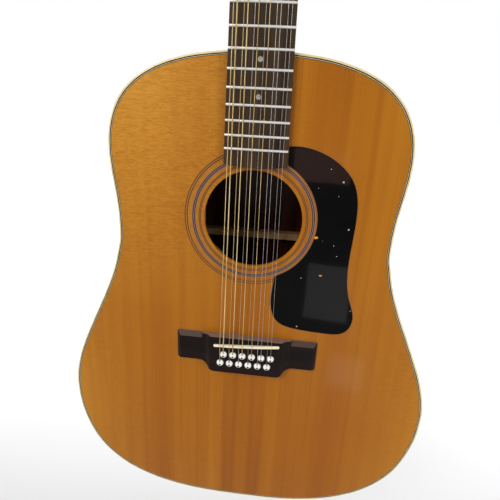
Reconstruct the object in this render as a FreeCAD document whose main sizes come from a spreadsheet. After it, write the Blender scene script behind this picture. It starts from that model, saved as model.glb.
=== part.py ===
import FreeCAD, Part
import math
import os

import Sketcher
from FreeCAD import Placement, Rotation, Vector

# Twelve-string flat-top guitar, standing on its tail.
# Origin: middle of the nut's string edge, on the plane of the soundboard.
# +Z runs up the neck, -Y is the side with the strings, +X is the thin-string (treble) side.
# All sizes are millimetres and degrees.

DIMENSIONS = {
    # strings, frets and fingerboard
    "scale_length": 647.7, "join_fret": 14, "fret_count": 20, "string_count": 12,
    "nut_width": 47.6, "nut_thickness": 5.5, "board_taper": 0.0275, "board_thickness": 6.5,
    "board_radius": 406.4, "board_corner": 457.9, "board_end": 460.9,
    "fret_width": 2.2, "fret_height": 1.1, "tang_width": 0.6, "tang_depth": 1.8,
    "dot_radius": 2.3, "dot_depth": 1.5,
    # outline of the body: half widths, and heights above the tail
    "body_length": 519.6, "lower_half": 201.9, "lower_up": 148.4, "waist_half": 138,
    "waist_up": 349.1, "upper_half": 144.6, "upper_up": 427.3,
    # how far the outline's curves run on from each of those places before they bend
    "tail_reach": 57.4, "lower_reach_down": 151, "lower_reach_up": 63.7, "waist_reach_down": 64.9,
    "waist_reach_up": 35.6, "upper_reach_down": 23.5, "upper_reach_up": 64.2, "join_reach": 97.4,
    # body shell
    "depth_at_neck": 100, "depth_at_tail": 122, "back_arch": 4572, "top_thickness": 2.8,
    "back_thickness": 2.8, "side_thickness": 2.3, "binding_width": 1.8, "binding_depth": 6,
    "binding_round": 1,
    "purfling_depth": 1.5, "lining_width": 6, "lining_depth": 14,
    "graft_width": 16, "block_width": 90, "block_length": 50, "tail_block_length": 22,
    "tenon_width": 20, "tenon_length": 18, "tenon_start": 12, "tenon_end": 80,
    # soundhole, rosette and pickguard
    "hole_below_join": 152.8, "hole_radius": 48.8, "rosette_depth": 1,
    "guard_thickness": 1, "guard_inner_radius": 63.3, "guard_side": 30.6,
    "guard_round": 0.4,
    # bracing
    "brace_width": 8, "brace_height": 14, "brace_foot": 3,
    "cross_below_join": 231, "cross_angle": 47, "long_arm": 260, "short_arm": 200, "arm_taper": 110,
    "plate_thickness": 2.5, "plate_top_half": 36, "plate_low_half": 66, "plate_top_below_join": 280,
    "plate_corner_below_join": 309, "plate_low_below_join": 325,
    "back_brace_height": 12,
    # bridge, saddle and pins
    "bridge_half": 77, "bridge_height": 9.5, "wing_height": 4.4, "bridge_top_below_join": 284,
    "bridge_wing": 33.8, "bridge_belly": 44.6, "belly_half": 34, "belly_run": 20,
    "bridge_corner": 1.5, "bridge_round": 0.8, "scoop_start": 49, "scoop_radius": 12,
    "bevel_width": 5.5, "bevel_edge": 1.4, "end_bevel_width": 3.5,
    "saddle_length": 72, "saddle_thickness": 3, "saddle_rise": 3.2, "saddle_seat": 5,
    "saddle_round": 1.2, "saddle_ledge": 0.9, "saddle_step_start": 7, "saddle_step_end": 20,
    "string_lift": 0.03,
    "saddle_below_join": 292.1, "saddle_slant": 4.1, "saddle_middle": 0.8,
    "pin_radius": 2.6, "pin_head_radius": 3.8, "pin_head_height": 3.2, "pin_collar": 0.6,
    "pin_length": 20,
    "pin_slot": 1.5, "pin_spacing": 10.35, "near_row_first": -23.8, "far_row_first": -27.3,
    "near_row_below_join": 305, "far_row_below_join": 315.8, "pin_dot_radius": 1.2, "pin_dot_drop": 0.9,
    # neck and headstock
    "neck_depth": 14.5, "heel_depth": 95, "heel_cap_thickness": 2, "rod_width": 6,
    "rod_depth": 9, "headstock_tilt": 14, "headstock_length": 205, "headstock_thickness": 14.5,
    "headstock_round": 1.5,
    "headstock_base": 37, "headstock_top": 41.5, "veneer_thickness": 2,
    # machine heads
    "tuner_pitch": 28, "tuner_first": 42, "post_offset": 27, "post_radius": 3,
    "post_rise": 13, "running_gap": 0.05, "winding_turns": 5, "winding_pitch": 1.8,
    "wheel_teeth": 14, "wheel_radius": 4.4, "wheel_thickness": 4.5,
    "worm_radius": 2.3, "worm_length": 9, "worm_distance": 7,
    "shaft_radius": 2, "shaft_collar": 3.2, "housing_width": 15, "housing_length": 24,
    "housing_depth": 10.5, "housing_wall": 1.2, "housing_round": 1.5,
    "ear_reach": 10.4, "ear_thickness": 1.2, "ear_margin": 3.2, "ear_round": 2.5,
    "button_length": 18, "button_width": 13, "button_thickness": 7, "button_round": 2.4,
    "bushing_radius": 5, "flange_radius": 6, "flange_thickness": 1.2, "screw_radius": 1,
    # end pin
    "end_pin_radius": 4, "end_pin_head": 6.8, "end_pin_rise": 9,
}

doc = FreeCAD.newDocument("twelve_string_guitar")
sheet = doc.addObject("Spreadsheet::Sheet", "Dimensions")
for row, (alias, value) in enumerate(DIMENSIONS.items(), start=1):
    sheet.set(f"A{row}", alias)
    sheet.set(f"B{row}", str(value))
    sheet.setAlias(f"B{row}", alias)
doc.recompute()


def dim(alias):
    """A driving dimension, read from the sheet."""
    return float(sheet.get(alias))


def cell(alias):
    """The same dimension as an expression."""
    return "Dimensions." + alias


FRONT = Vector(0, -1, 0)
BACK = Vector(0, 1, 0)
ACROSS = Vector(1, 0, 0)
UP = Vector(0, 0, 1)
JOIN = -dim("scale_length") * (1 - 2 ** (-dim("join_fret") / 12))
JOIN_CELL = "(-Dimensions.scale_length * (1 - 2 ^ (-Dimensions.join_fret / 12)))"
HOLE = Vector(0, 0, JOIN - dim("hole_below_join"))
TAIL = JOIN - dim("body_length")
nodes = {}


# ---------------------------------------------------------------- document helpers

def feature(name, shape, placement=None):
    """A Part::Feature holding a shape made with Part's own functions."""
    item = doc.addObject("Part::Feature", name)
    item.Label = name
    item.Shape = shape
    if placement is not None:
        item.Placement = placement
    return item


def keep(name, item):
    """Marks a document object as a sub-part of the guitar."""
    item.Label = name
    nodes[name] = item
    return item


def origin_plane(body, role):
    return next(plane for plane in body.Origin.OriginFeatures if plane.Role == role)


def value_of(expression):
    """The number an expression of sheet cells gives."""
    return float(sheet.evalExpression(expression))


def profile(body, role, corners, circles=()):
    """A closed sketch: straight sides through corners, and circles, bound to the sheet."""
    sketch = body.newObject("Sketcher::SketchObject", "Profile")
    sketch.AttachmentSupport = [(origin_plane(body, role), "")]
    sketch.MapMode = "FlatFace"
    points = [Vector(value_of(across), value_of(up), 0) for across, up in corners]
    for index, point in enumerate(points):
        sketch.addGeometry(Part.LineSegment(point, points[(index + 1) % len(points)]))
    for index, (point, corner) in enumerate(zip(points, corners)):
        sketch.addConstraint(Sketcher.Constraint("Coincident", index, 2, (index + 1) % len(points), 1))
        for kind, number, expression in zip(("DistanceX", "DistanceY"), point, corner):
            row = sketch.addConstraint(Sketcher.Constraint(kind, -1, 1, index, 1, number))
            sketch.setExpression(f"Constraints[{row}]", expression)
    for across, up, radius in circles:
        centre = Vector(value_of(across), value_of(up), 0)
        row = sketch.addGeometry(Part.Circle(centre, Vector(0, 0, 1), value_of(radius)))
        size = sketch.addConstraint(Sketcher.Constraint("Radius", row, value_of(radius)))
        sketch.setExpression(f"Constraints[{size}]", radius)
        for kind, number, expression in (("DistanceX", centre.x, across), ("DistanceY", centre.y, up)):
            place = sketch.addConstraint(Sketcher.Constraint(kind, -1, 1, row, 3, number))
            sketch.setExpression(f"Constraints[{place}]", expression)
    return sketch


def padded_body(name, role, corners, length, circles=(), backward=False):
    """A PartDesign body with one padded sketch."""
    body = doc.addObject("PartDesign::Body", name)
    pad = body.newObject("PartDesign::Pad", "Pad")
    pad.Profile = profile(body, role, corners, circles)
    pad.setExpression("Length", length)
    pad.Reversed = backward
    return body


def turned_body(name, corners):
    """A PartDesign body turned about its own vertical sketch axis."""
    body = doc.addObject("PartDesign::Body", name)
    sketch = profile(body, "XZ_Plane", corners)
    turn = body.newObject("PartDesign::Revolution", "Turning")
    turn.Profile = sketch
    turn.ReferenceAxis = (sketch, ["V_Axis"])
    turn.Angle = 360
    return body


# ---------------------------------------------------------------- body outline

def outline_controls():
    """Control points of the right half, tail to neck: four cubic curves meeting at the bouts and waist."""
    def beyond(place, rise):
        return place[0], place[1] + rise

    lower = (dim("lower_half"), TAIL + dim("lower_up"))
    waist = (dim("waist_half"), TAIL + dim("waist_up"))
    upper = (dim("upper_half"), TAIL + dim("upper_up"))
    return (
        ((0, TAIL), (dim("tail_reach"), TAIL), beyond(lower, -dim("lower_reach_down")), lower),
        (lower, beyond(lower, dim("lower_reach_up")), beyond(waist, -dim("waist_reach_down")), waist),
        (waist, beyond(waist, dim("waist_reach_up")), beyond(upper, -dim("upper_reach_down")), upper),
        (upper, beyond(upper, dim("upper_reach_up")), (dim("join_reach"), JOIN), (0, JOIN)),
    )


def inset_curve(controls, inset, steps=10):
    """One cubic moved inward by inset, as a spline with the cubic's own end directions."""
    curve = Part.BezierCurve()
    curve.setPoles([Vector(x, 0, z) for x, z in controls])
    points = []
    for step in range(steps + 1):
        point, along = curve.value(step / steps), curve.tangent(step / steps)[0]
        points.append(point + Vector(-along.z, 0, along.x) * inset)
    spline = Part.BSplineCurve()
    spline.interpolate(Points=points, InitialTangent=curve.tangent(0)[0],
                       FinalTangent=curve.tangent(1)[0])
    return spline.toShape()


def outline(inset):
    """The closed outline of the body, inset from its outer edge."""
    half = [inset_curve(controls, inset) for controls in outline_controls()]
    other = [edge.mirror(Vector(), ACROSS) for edge in half]
    return Part.Wire(Part.__sortEdges__(half + other))


def slab(inset, start, depth):
    """The outline's area, from y = start backward by depth."""
    face = Part.Face(outline(inset))
    face.translate(BACK * start)
    return face.extrude(BACK * depth)


def rim(outer, inner, start, depth):
    """A ring that follows the outline between two insets."""
    return slab(outer, start, depth).cut(slab(inner, start - 1, depth + 2))


def under_back(below):
    """Everything in front of the arched back's surface, lowered by below."""
    fall = math.atan2(dim("depth_at_tail") - dim("depth_at_neck"), dim("body_length"))
    down = Vector(0, math.sin(fall), -math.cos(fall))
    outward = Vector(0, math.cos(fall), math.sin(fall))
    spare = 60
    base = Vector(0, dim("depth_at_neck"), JOIN) - outward * dim("back_arch") - down * spare
    return Part.makeCylinder(dim("back_arch") - below, dim("body_length") + 2 * spare, base, down)


def block(x_low, x_high, y_low, y_high, z_low, z_high):
    """A plain box between two corners."""
    return Part.makeBox(x_high - x_low, y_high - y_low, z_high - z_low, Vector(x_low, y_low, z_low))


# ---------------------------------------------------------------- fingerboard, frets, dots

def fret_height(number):
    """Z of a fret's middle."""
    return -dim("scale_length") * (1 - 2 ** (-number / 12))


def board_half(height):
    """Half the fingerboard's width at a height below the nut."""
    return dim("nut_width") / 2 - height * dim("board_taper") / 2


def board_axis():
    """A point on the axis of the fingerboard's round playing face."""
    return Vector(0, dim("board_radius") - dim("board_thickness"), 0)


def make_fret(number):
    """A fret: round crown and tang, turned about the playing face's axis."""
    height, radius = fret_height(number), dim("board_radius")
    half, tang = dim("fret_width") / 2, dim("tang_width") / 2
    face_y = -dim("board_thickness")
    crown = Part.Arc(Vector(0, face_y, height - half), Vector(0, face_y - dim("fret_height"), height),
                     Vector(0, face_y, height + half)).toShape()
    under = Part.makePolygon([
        Vector(0, face_y, height + half), Vector(0, face_y, height + tang),
        Vector(0, face_y + dim("tang_depth"), height + tang),
        Vector(0, face_y + dim("tang_depth"), height - tang),
        Vector(0, face_y, height - tang), Vector(0, face_y, height - half)])
    section = Part.Face(Part.Wire([crown] + under.Edges))
    spread = math.degrees(math.asin((board_half(height) - 0.2) / radius))
    section.rotate(board_axis(), UP, -spread)
    return section.revolve(board_axis(), UP, 2 * spread)


frets = Part.Compound([make_fret(number) for number in range(1, int(dim("fret_count")) + 1)])


def dot_places():
    """X and Z of the position dots: one in each marked space, and two at the twelfth."""
    for number in (3, 5, 7, 9, 15, 17):
        yield 0, (fret_height(number) + fret_height(number - 1)) / 2
    for side in (-1, 1):
        yield side * 12, (fret_height(12) + fret_height(11)) / 2


def make_board_blank():
    """The fingerboard before its slots: tapered plan, round playing face, curved lower end."""
    corner, end = -dim("board_corner"), -dim("board_end")
    wide = board_half(corner)
    nut_half = dim("nut_width") / 2
    end_curve = Part.Arc(Vector(wide, 0, corner), Vector(0, 0, end), Vector(-wide, 0, corner)).toShape()
    sides = Part.makePolygon([Vector(-wide, 0, corner), Vector(-nut_half, 0, 0),
                              Vector(nut_half, 0, 0), Vector(wide, 0, corner)])
    plan = Part.Face(Part.Wire([end_curve] + sides.Edges))
    playing_face = Part.makeCylinder(dim("board_radius"), dim("board_end") + 20,
                                     board_axis() - UP * (dim("board_end") + 10), UP)
    return plan.extrude(FRONT * (dim("board_thickness") + 1)).common(playing_face)


board_blank = make_board_blank()
dot_plugs = Part.Compound([
    Part.makeCylinder(dim("dot_radius"), 5, Vector(x, dim("dot_depth") - dim("board_thickness"), z), FRONT)
    for x, z in dot_places()])
keep("fingerboard", feature("fingerboard", board_blank.cut(frets).cut(dot_plugs)))
keep("frets", feature("frets", frets))
keep("position_dots", feature("position_dots", board_blank.common(dot_plugs)))


# ---------------------------------------------------------------- bridge, saddle, pins

def pin_places():
    """X and Z of the bridge pins, from the thick strings to the thin ones: far row, near row, far row..."""
    for course in range(int(dim("string_count")) // 2):
        step = course * dim("pin_spacing")
        yield dim("far_row_first") + step, JOIN - dim("far_row_below_join")
        yield dim("near_row_first") + step, JOIN - dim("near_row_below_join")


def make_pin_parts(x, z):
    """A bridge pin with its string slot, and the dark dot let into its head."""
    top = -dim("bridge_height")
    radius, head = dim("pin_radius"), dim("pin_head_radius")
    seat = Vector(x, top, z)
    shank = Part.makeCylinder(radius, dim("pin_length"), seat, BACK)
    collar = Part.makeCylinder(head, dim("pin_collar"), seat, FRONT)
    rise = dim("pin_head_height") - dim("pin_collar")
    ball_radius = (head ** 2 + rise ** 2) / (2 * rise)
    ball = Part.makeSphere(ball_radius, seat + FRONT * (dim("pin_head_height") - ball_radius))
    dome = ball.common(Part.makeCylinder(head, rise + 1, seat + FRONT * dim("pin_collar"), FRONT))
    slot = block(x - dim("pin_slot") / 2, x + dim("pin_slot") / 2, top - 6, top + dim("pin_length") + 1,
                 z + 1.3, z + head + 1)
    plug = Part.makeCylinder(dim("pin_dot_radius"), 4, seat + FRONT * (dim("pin_head_height") - 1)
                             - UP * dim("pin_dot_drop"), FRONT)
    pin = shank.fuse([collar, dome]).cut(slot)
    return pin.cut(plug).removeSplitter(), dome.common(plug)


pin_holes = Part.Compound([
    Part.makeCylinder(dim("pin_radius"), 40, Vector(x, -20, z), BACK) for x, z in pin_places()])


def wing_bevel(across, along, start, length, sign):
    """The wedge that slopes a wing's edge down towards the soundboard: across is the way it falls."""
    high, thin, width = -dim("wing_height"), -dim("bevel_edge"), start[1]
    corners = [(-width, high), (-width, high - 6), (1, high - 6), (1, thin), (0, thin), (-width, high)]
    face = Part.Face(Part.makePolygon([start[0] + across * out + BACK * level for out, level in corners]))
    wedge = face.extrude(along * length)
    return wedge if sign > 0 else wedge.mirror(Vector(), ACROSS)


def make_bridge():
    """Belly bridge: thin bevelled wings, scooped shoulders, a raised middle and a curved belly."""
    half, belly, corner = dim("bridge_half"), dim("belly_half"), dim("bridge_corner")
    top = JOIN - dim("bridge_top_below_join")
    wing, low = top - dim("bridge_wing"), top - dim("bridge_belly")
    wing_end = belly + dim("belly_run")

    def curve(*points):
        bezier = Part.BezierCurve()
        bezier.setPoles([Vector(x, 0, z) for x, z in points])
        return bezier.toShape()

    right_side = [
        curve((0, low), (belly, low)),
        curve((belly, low), (belly + 9, low), (belly + 7, wing), (wing_end, wing)),
        curve((wing_end, wing), (half - corner, wing)),
        curve((half - corner, wing), (half, wing), (half, wing + corner)),
        curve((half, wing + corner), (half, top - corner)),
        curve((half, top - corner), (half, top), (half - corner, top)),
        curve((half - corner, top), (0, top)),
    ]
    left_side = [edge.mirror(Vector(), ACROSS) for edge in right_side]
    plan = Part.Face(Part.Wire(Part.__sortEdges__(right_side + left_side)))
    blank = plan.extrude(FRONT * dim("bridge_height"))
    radius, start = dim("scoop_radius"), dim("scoop_start")
    for sign in (-1, 1):
        middle = Vector(sign * start, -dim("wing_height") - radius, low - 5)
        scoop = Part.makeCylinder(radius, dim("bridge_belly") + 10, middle, UP)
        edges = sorted((sign * start, sign * (half + 5)))
        shelf = block(edges[0], edges[1], -dim("bridge_height") - 5, -dim("wing_height"), low - 5, top + 5)
        upper_bevel = wing_bevel(UP, ACROSS, (Vector(start, 0, top), dim("bevel_width")), half, sign)
        outer_bevel = wing_bevel(ACROSS, UP, (Vector(half, 0, low), dim("end_bevel_width")),
                                 dim("bridge_belly") + 5, sign)
        blank = blank.cut(scoop.fuse(shelf)).cut(upper_bevel).cut(outer_bevel)
    upper = [edge for edge in blank.Edges if edge.BoundBox.YMax < 1 - dim("bridge_height")]
    return blank.makeFillet(dim("bridge_round"), upper)


def saddle_placement():
    """Saddle frame: X along the saddle, Y backward from the bridge's top, Z up the neck."""
    middle = Vector(dim("saddle_middle"), -dim("bridge_height"), JOIN - dim("saddle_below_join"))
    return Placement(middle, Rotation(FRONT, dim("saddle_slant")))


def make_saddle():
    """Saddle: a crowned strip with rounded ends, and a ledge on its tail side but for one step."""
    length, thick = dim("saddle_length"), dim("saddle_thickness")
    strip = block(-length / 2, length / 2, -dim("saddle_rise"), dim("saddle_seat") - 1,
                  -thick / 2, thick / 2)
    crown = Part.makeCylinder(dim("board_radius"), thick + 2,
                              Vector(0, dim("board_radius") - dim("saddle_rise"), -thick / 2 - 1), UP)
    strip = strip.common(crown)
    ends = [edge for edge in strip.Edges if abs(edge.tangentAt(edge.FirstParameter).y) > 0.9]
    strip = strip.makeFillet(thick / 2 - 0.1, ends)
    string_edges = [edge for edge in strip.Edges if edge.BoundBox.YMax < 0 and edge.BoundBox.YLength < 3]
    strip = strip.makeFillet(dim("saddle_round"), string_edges)
    ledge, step_start, step_end = dim("saddle_ledge"), dim("saddle_step_start"), dim("saddle_step_end")
    for start, end in ((-length, step_start), (step_end, length)):
        strip = strip.cut(block(start, end, -dim("saddle_rise") - 1, ledge - dim("saddle_rise"),
                                -thick, ledge - thick / 2))
    return strip


bridge_blank = make_bridge()
saddle = feature("saddle", make_saddle(), saddle_placement())
keep("saddle", saddle)
keep("bridge", feature("bridge", bridge_blank.cut(pin_holes).cut(saddle.Shape)))
pins, pin_dots = zip(*(make_pin_parts(x, z) for x, z in pin_places()))
keep("bridge_pins", feature("bridge_pins", Part.Compound(list(pins))))
keep("bridge_pin_dots", feature("bridge_pin_dots", Part.Compound(list(pin_dots))))


# ---------------------------------------------------------------- top, rosette, binding

def disc_ring(inner, outer, depth):
    """A flat ring round the soundhole's axis, let into the top."""
    centre = Vector(HOLE.x, 0, HOLE.z)
    return Part.makeCylinder(outer, depth, centre, BACK).cut(Part.makeCylinder(inner, depth, centre, BACK))


# Inner radius, line width and number of lines of each ring group, from the soundhole outward.
ROSETTE_GROUPS = ((52.4, 0.7, 3), (57.7, 0.8, 5), (65.9, 0.62, 5))


def rosette_lines():
    """Every line of the ring groups, dark and pale by turns."""
    for start, width, count in ROSETTE_GROUPS:
        for line in range(count):
            inner = start + line * width
            yield disc_ring(inner, inner + width, dim("rosette_depth"))


# Widths of the border lines inside the binding: dark, pale, dark.
PURFLING_WIDTHS = (1, 0.4, 0.5)
PURFLING_END = dim("binding_width") + sum(PURFLING_WIDTHS)


def purfling_lines(first):
    """Every second line of the border inside the binding, counted from its outer edge."""
    for line in range(first, len(PURFLING_WIDTHS), 2):
        start = dim("binding_width") + sum(PURFLING_WIDTHS[:line])
        yield rim(start, start + PURFLING_WIDTHS[line], 0, dim("purfling_depth"))


keep("rosette", feature("rosette", Part.Compound(list(rosette_lines()))))
keep("purfling_black", feature("purfling_black", Part.Compound(list(purfling_lines(0)))))
keep("purfling_white", feature("purfling_white", Part.Compound(list(purfling_lines(1)))))


def make_soundboard():
    """The top: outline inside the binding, with channels for the border and rosette, and its holes."""
    plate = slab(dim("binding_width"), 0, dim("top_thickness"))
    plate = plate.cut(rim(dim("binding_width") - 1, PURFLING_END, -1, dim("purfling_depth") + 1))
    for start, width, count in ROSETTE_GROUPS:
        plate = plate.cut(disc_ring(start, start + width * count, dim("rosette_depth")))
    opening = Part.makeCylinder(dim("hole_radius"), 10, HOLE + FRONT * 2, BACK)
    return plate.cut(opening).cut(pin_holes)


keep("soundboard", feature("soundboard", make_soundboard()))


def make_pickguard():
    """Pickguard: a round inner edge concentric with the soundhole, and one flowing outer edge."""
    side, reach = dim("guard_side"), dim("guard_inner_radius")
    outer_edge = ((side, -79.9), (69.1, -87.6), (94, -110.8), (100.2, -146), (98.6, -187),
                  (103.9, -230.3), (110.1, -255), (103.6, -268.5), (82.3, -272.3), (51.7, -270.1),
                  (31.9, -263.1), (24.7, -250), (24.3, -222))
    first_drop = math.sqrt(reach ** 2 - side ** 2)
    last_side = 25.3
    last_drop = math.sqrt(reach ** 2 - last_side ** 2)
    points = [Vector(x, 0, JOIN + z) for x, z in outer_edge]
    points.append(Vector(last_side, 0, HOLE.z - last_drop))
    spline = Part.BSplineCurve()
    spline.interpolate(Points=points)
    inner = Part.Arc(points[-1], HOLE + ACROSS * reach, Vector(side, 0, HOLE.z + first_drop)).toShape()
    straight = Part.makeLine(Vector(side, 0, HOLE.z + first_drop), points[0])
    plan = Part.Face(Part.Wire([spline.toShape(), inner, straight]))
    plate = plan.extrude(FRONT * dim("guard_thickness"))
    rim_edges = [edge for edge in plate.Edges if edge.BoundBox.YMax < 0.1 - dim("guard_thickness")]
    return plate.makeFillet(dim("guard_round"), rim_edges)


keep("pickguard", feature("pickguard", make_pickguard()))


def rounded_rim(ring, face):
    """Rounds a binding's outer corner: the edges that lie on the outline and on the given outer face."""
    edge_line, corner_edges = outline(0), []
    for edge in ring.Edges:
        first = edge.valueAt(edge.FirstParameter)
        middle = edge.valueAt((edge.FirstParameter + edge.LastParameter) / 2)
        on_outline = Part.Vertex(Vector(middle.x, 0, middle.z)).distToShape(edge_line)[0] < 0.05
        on_face = all(Part.Vertex(point).distToShape(face)[0] < 0.01 for point in (first, middle))
        if on_outline and on_face:
            corner_edges.append(edge)
    return ring.makeFillet(dim("binding_round"), corner_edges)


def round_face(shape):
    """The curved face of a cylinder."""
    return next(face for face in shape.Faces if isinstance(face.Surface, Part.Cylinder))


square_top_binding = rim(0, dim("binding_width"), 0, dim("binding_depth"))
top_binding = rounded_rim(square_top_binding, block(-300, 300, -1, 0, TAIL - 20, JOIN + 20))
back_zone = under_back(0).cut(under_back(dim("binding_depth")))
square_back_binding = rim(0, dim("binding_width"), 60, 80).common(back_zone)
back_binding = rounded_rim(square_back_binding, round_face(under_back(0)))
keep("body_binding", feature("body_binding", Part.Compound([top_binding, back_binding])))

back_plate = slab(dim("binding_width"), 60, 80).common(
    under_back(0).cut(under_back(dim("back_thickness"))))
keep("back", feature("back", back_plate))


# ---------------------------------------------------------------- sides, blocks, linings

side_shell = rim(0, dim("side_thickness"), dim("top_thickness"), 140).common(
    under_back(dim("back_thickness"))).cut(square_top_binding).cut(square_back_binding)
tenon = block(-dim("tenon_width") / 2, dim("tenon_width") / 2, dim("tenon_start"), dim("tenon_end"),
              JOIN - dim("tenon_length"), JOIN + 5)
graft_zone = block(-dim("graft_width") / 2, dim("graft_width") / 2, 0, 140, TAIL - 5, TAIL + 15)
end_pin_axis = Vector(0, dim("depth_at_tail") / 2, TAIL)
end_pin_hole = Part.makeCylinder(dim("end_pin_radius"), 40, end_pin_axis - UP * 5, UP)
side_shell = side_shell.cut(tenon)
keep("end_graft", feature("end_graft", side_shell.common(graft_zone).cut(end_pin_hole)))
side_shell = side_shell.cut(graft_zone)
keep("side_bass", feature("side_bass", side_shell.common(block(-300, 0, -5, 140, TAIL - 5, JOIN + 5))))
keep("side_treble", feature("side_treble", side_shell.common(block(0, 300, -5, 140, TAIL - 5, JOIN + 5))))

inside = slab(dim("side_thickness"), dim("top_thickness"), 140).common(under_back(dim("back_thickness")))
neck_block = inside.common(
    block(-dim("block_width") / 2, dim("block_width") / 2, 0, 140, JOIN - dim("block_length"), JOIN + 5))
tail_block = inside.common(
    block(-dim("block_width") / 2, dim("block_width") / 2, 0, 140,
          TAIL - 5, TAIL + dim("tail_block_length")))
keep("neck_block", feature("neck_block", neck_block.cut(tenon)))
keep("tail_block", feature("tail_block", tail_block.cut(end_pin_hole)))

lining_inner = dim("side_thickness") + dim("lining_width")
lining_band = rim(dim("side_thickness"), lining_inner, dim("top_thickness"), 140)
top_lining = rim(dim("side_thickness"), lining_inner, dim("top_thickness"), dim("lining_depth"))
back_lining = lining_band.common(under_back(dim("back_thickness")).cut(
    under_back(dim("back_thickness") + dim("lining_depth"))))
linings = [lining.cut(neck_block).cut(tail_block) for lining in (top_lining, back_lining)]
keep("linings", feature("linings", Part.Compound(linings)))


# ---------------------------------------------------------------- bracing

# Bars stop this far short of the linings.
LINING_GAP = 0.2
brace_room = slab(lining_inner + LINING_GAP, 0, 140).cut(neck_block).cut(tail_block)


def make_brace(start, end, width, height, taper):
    """A bar under the top between two (across, below the join) points, thinned towards both ends."""
    foot = dim("brace_foot")
    run = Vector(end[0] - start[0], 0, start[1] - end[1])
    length = run.Length
    side_view = Part.makePolygon([
        Vector(0, 0, 0), Vector(length, 0, 0), Vector(length, foot, 0), Vector(length - taper, height, 0),
        Vector(taper, height, 0), Vector(0, foot, 0), Vector(0, 0, 0)])
    bar = Part.Face(side_view).extrude(Vector(0, 0, width))
    bar.translate(Vector(0, 0, -width / 2))
    base = Vector(start[0], dim("top_thickness"), JOIN - start[1])
    bar.Placement = Placement(base, Rotation(ACROSS, run)).multiply(bar.Placement)
    return bar


def make_x_braces():
    """The two long arms under the top, half lapped where they cross."""
    cross = dim("cross_below_join")
    lean = math.radians(dim("cross_angle"))
    arms = []
    for sign in (-1, 1):
        low, high = ((sign * arm * math.sin(lean), cross + arm * math.cos(lean))
                     for arm in (dim("long_arm"), -dim("short_arm")))
        arms.append(make_brace(low, high, dim("brace_width"), dim("brace_height"), dim("arm_taper")))
    lap = arms[0].common(arms[1])
    middle = dim("top_thickness") + dim("brace_height") / 2
    upper_half = lap.common(block(-50, 50, middle, 50, JOIN - cross - 50, JOIN - cross + 50))
    lower_half = lap.common(block(-50, 50, 0, middle, JOIN - cross - 50, JOIN - cross + 50))
    return arms[0].cut(upper_half).common(brace_room), arms[1].cut(lower_half).common(brace_room)


x_braces = make_x_braces()
x_pair = Part.Compound(list(x_braces))
keep("x_braces", feature("x_braces", x_pair))


# The other bars under the top: both ends as (across, below the join), width, height, end taper.
TOP_BARS = (
    # transverse bar above the soundhole
    ((-180, 87), (180, 87), 12, 15, 70),
    # tone bars
    ((110, 329), (-100, 423), 7, 10, 55),
    ((158, 373), (-40, 471), 7, 9, 55),
    # bars beside the soundhole
    ((-53.5, 106), (-53.5, 181.6), 9, 5, 15),
    ((53.5, 106), (53.5, 181.6), 9, 5, 15),
    # finger bars outside the X
    ((-60, 279), (-205, 301), 6, 7, 30),
    ((-104, 323), (-205, 345), 6, 7, 30),
    ((60, 279), (205, 301), 6, 7, 30),
    ((104, 323), (205, 345), 6, 7, 30),
)


def make_top_braces():
    """The other bars, each fitted between the X arms, the linings and the bars before it."""
    others = x_pair
    fitted = []
    for ends_and_sizes in TOP_BARS:
        piece = make_brace(*ends_and_sizes).common(brace_room).cut(others)
        solid = max(piece.Solids, key=lambda item: item.Volume)
        fitted.append(solid)
        others = others.fuse(solid)
    return Part.Compound(fitted)


top_braces = make_top_braces()

plate_levels = [f"{JOIN_CELL} - {cell('plate_' + name + '_below_join')}"
                for name in ("top", "corner", "low")]
bridge_plate = padded_body(
    "bridge_plate", "XZ_Plane",
    [("-" + cell("plate_top_half"), plate_levels[0]), (cell("plate_top_half"), plate_levels[0]),
     (cell("plate_low_half"), plate_levels[1]), (cell("plate_low_half"), plate_levels[2]),
     ("-" + cell("plate_low_half"), plate_levels[2]), ("-" + cell("plate_low_half"), plate_levels[1])],
    cell("plate_thickness"), backward=True)
bridge_plate.setExpression("Placement.Base.y", cell("top_thickness"))
doc.recompute()
plate_holes = feature("plate_holes", pin_holes)
plate_cut = doc.addObject("Part::Cut", "bridge_plate_drilled")
plate_cut.Base = bridge_plate
plate_cut.Tool = plate_holes
bridge_plate.Label = "bridge_plate_blank"
keep("bridge_plate", plate_cut)
keep("top_braces", feature("top_braces", top_braces.cut(bridge_plate.Shape)))


# Ladder bars across the back: how far below the join, and width.
BACK_BARS = ((75, 8), (197, 8), (318, 14), (430, 14))


def make_back_braces():
    """Ladder bars whose backs follow the arch of the back."""
    zone = under_back(dim("back_thickness")).cut(
        under_back(dim("back_thickness") + dim("back_brace_height")))
    zone = zone.common(slab(lining_inner + LINING_GAP, 0, 140))
    return [zone.common(block(-220, 220, 40, 140, JOIN - below - width / 2, JOIN - below + width / 2))
            for below, width in BACK_BARS]


keep("back_braces", feature("back_braces", Part.Compound(make_back_braces())))


# ---------------------------------------------------------------- neck and headstock

HEAD = Placement(Vector(0, 0, dim("nut_thickness")), Rotation(ACROSS, 90 - dim("headstock_tilt")))
# The headstock's own frame: X across, Y up along its face, Z out of its front face.


def half_round(half_width, depth, height, drop=0):
    """A flat-fronted, round-backed section of the neck at a height."""
    left, right = Vector(-half_width, drop, height), Vector(half_width, drop, height)
    ellipse = Part.Ellipse(Vector(0, 0, 0), max(half_width, depth), min(half_width, depth))
    arc = Part.ArcOfEllipse(ellipse, 0, math.pi).toShape()
    if depth > half_width:
        arc.rotate(Vector(), UP, 90)
    arc.translate(Vector(0, drop, height))
    return Part.Wire([arc, Part.makeLine(left, right)])


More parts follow.
